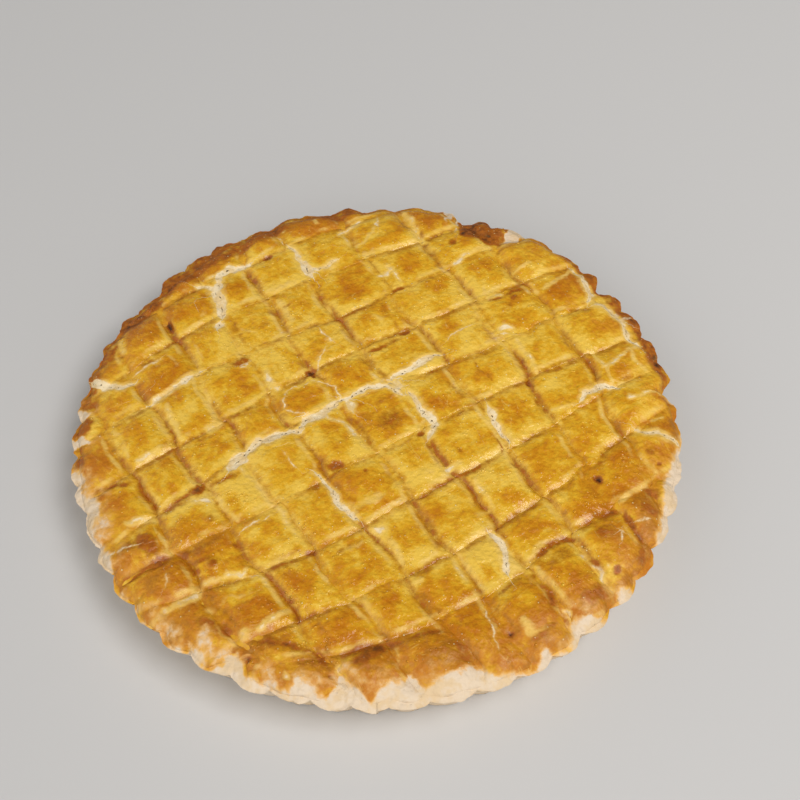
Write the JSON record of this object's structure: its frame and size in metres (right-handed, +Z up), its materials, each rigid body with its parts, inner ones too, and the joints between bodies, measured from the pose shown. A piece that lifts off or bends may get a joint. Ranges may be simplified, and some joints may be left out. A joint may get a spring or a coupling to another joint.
{
  "type": "apple pie",
  "caption": "Round shallow apple pie, out of its tin: a filled pastry shell with a fluted side under a closed lid of woven pastry strips.",
  "frame": {"origin": "on the surface that the pie stands on, below the middle of its round base", "axes": "+Z up through the lid; -Y towards the pie's front, where the lid rolls over the rim; +X to the right seen from the front"},
  "size_m": [0.262, 0.262, 0.0283],
  "materials": {
    "shell": "matte, floury baked shortcrust, pale cream with browned tips",
    "lid": "egg-washed baked pastry, golden, satin to glossy"
  },
  "bodies": {
    "root": {"shell": "shell", "strip_across_1": "lid", "strip_across_2": "lid", "strip_across_3": "lid", "strip_across_4": "lid", "strip_across_5": "lid", "strip_across_6": "lid", "strip_across_7": "lid", "strip_across_8": "lid", "strip_across_9": "lid", "strip_across_10": "lid", "strip_down_1": "lid", "strip_down_2": "lid", "strip_down_3": "lid", "strip_down_4": "lid", "strip_down_5": "lid", "strip_down_6": "lid", "strip_down_7": "lid", "strip_down_8": "lid", "strip_down_9": "lid", "strip_down_10": "lid"}
  },
  "joints": []
}
